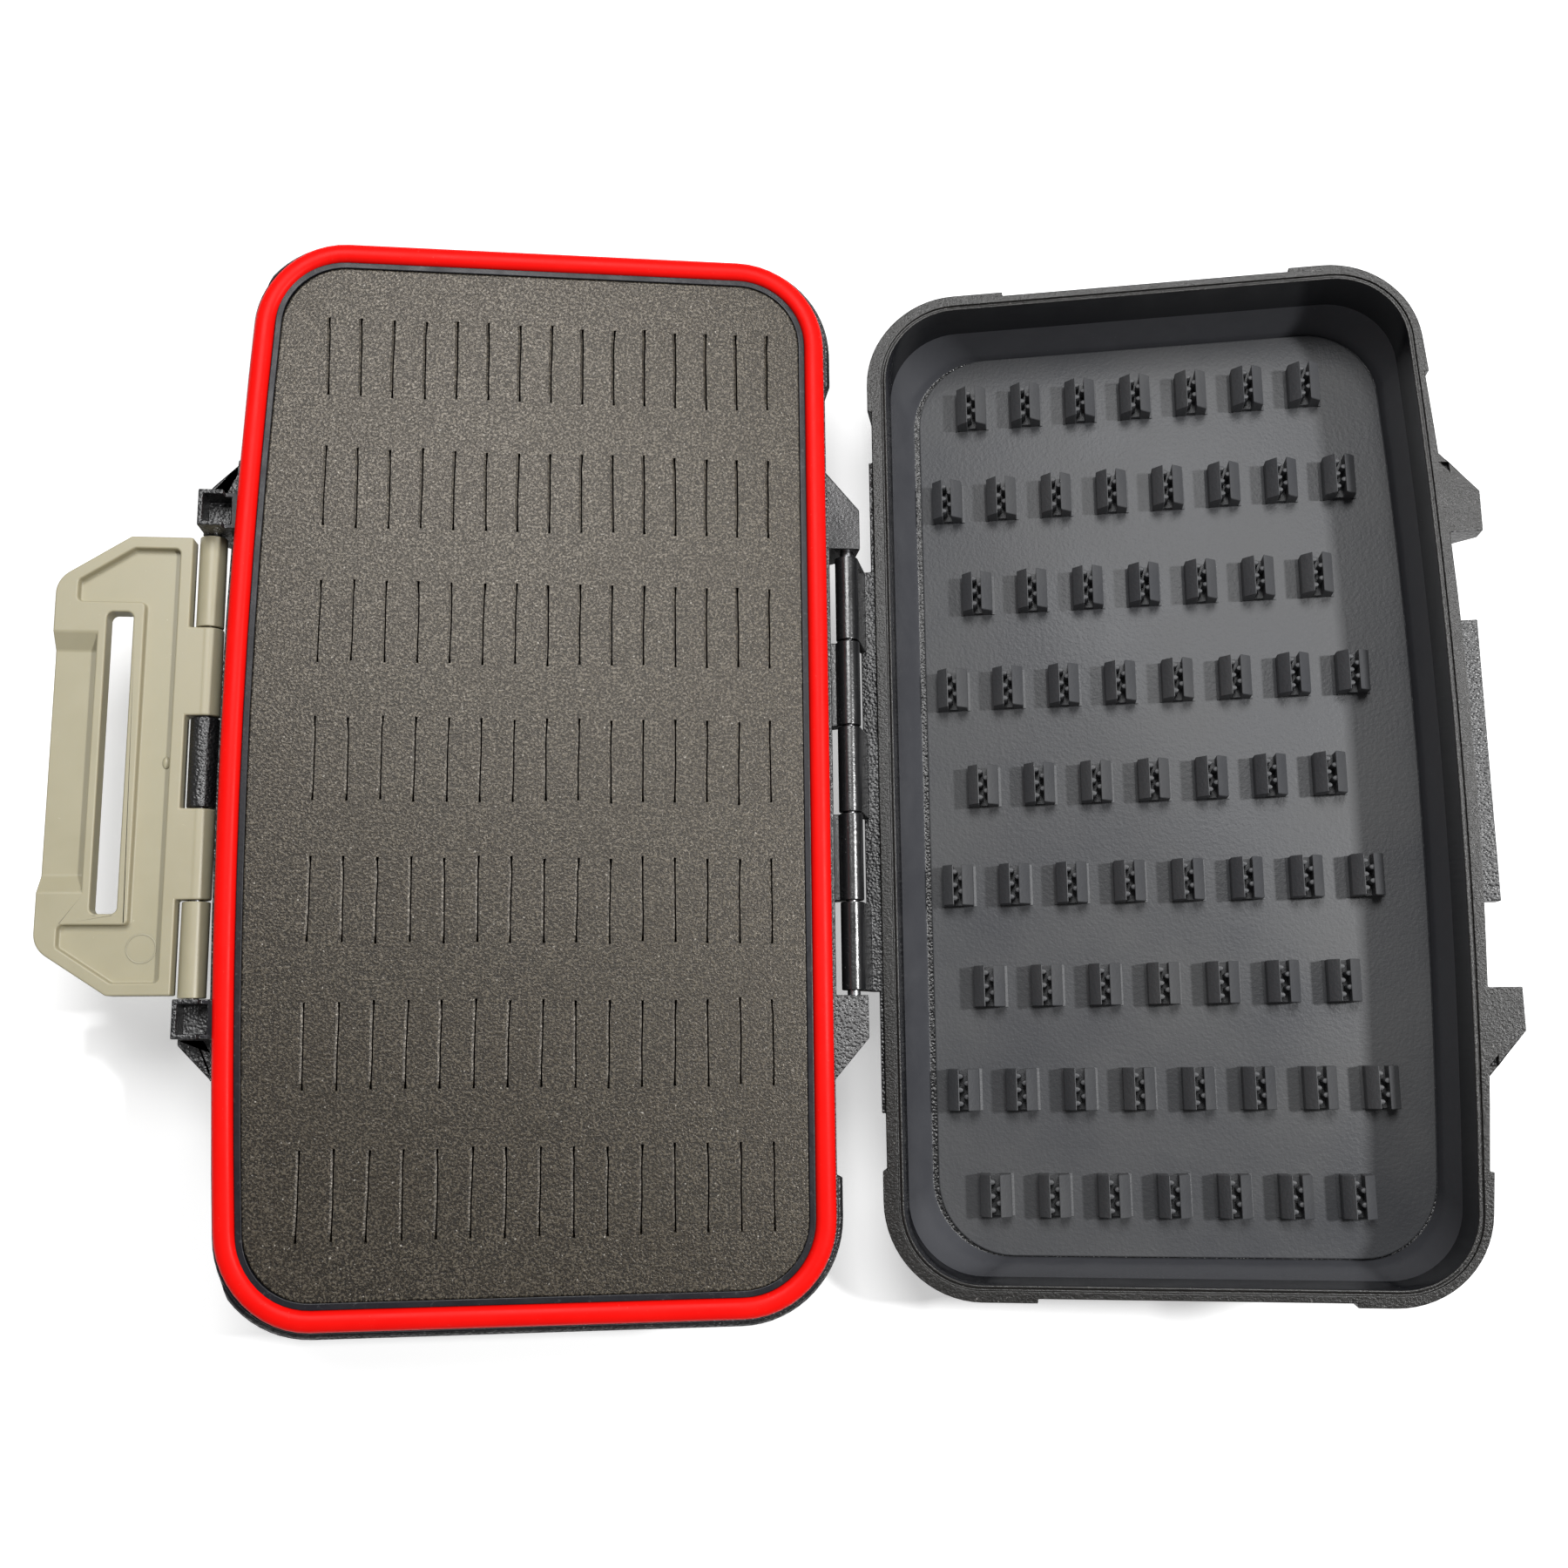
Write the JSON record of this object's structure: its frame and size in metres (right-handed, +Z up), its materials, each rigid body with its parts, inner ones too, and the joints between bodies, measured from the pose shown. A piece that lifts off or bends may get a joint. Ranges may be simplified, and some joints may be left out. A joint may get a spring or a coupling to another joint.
{
  "type": "fishing jig box",
  "caption": "Flat hinged jig box, open like a book: slit foam block and red rim gasket in the base, rubber hook-clip mat in the lid, snap-over latch handle.",
  "frame": {"origin": "on the table, under the middle of the base's bottom face", "axes": "+X from the base across the hinge to the open lid, +Y along the hinge, +Z up"},
  "size_m": [0.2706, 0.2054, 0.0562],
  "materials": {
    "shell_plastic": "black, fine moulded grain",
    "gasket_rubber": "bright red, soft sheen",
    "foam_block": "dark grey closed-cell foam, fine speckle",
    "mat_rubber": "slate grey, matte",
    "handle_plastic": "beige, slightly translucent",
    "pin_steel": "drawn wire"
  },
  "bodies": {
    "base": {"base_shell": "shell_plastic", "rim_gasket": "gasket_rubber", "slit_foam": "foam_block", "hinge_pin": "pin_steel", "latch_pin": "pin_steel", "latch_sleeve_upper": "handle_plastic", "latch_sleeve_lower": "handle_plastic"},
    "lid": {"lid_shell": "shell_plastic", "hook_mat": "mat_rubber"},
    "handle": {"latch_handle": "handle_plastic"}
  },
  "joints": [
    {"name": "lid_hinge", "type": "hinge", "parent": "base", "child": "lid", "pos_m": [0.0611, 0, 0.0307], "axis": [0, -1, 0], "range_deg": [0, 164]},
    {"name": "latch_hinge", "type": "hinge", "parent": "base", "child": "handle", "pos_m": [-0.0605, 0, 0.0307], "axis": [0, 1, 0], "range_deg": [0, 90]}
  ]
}
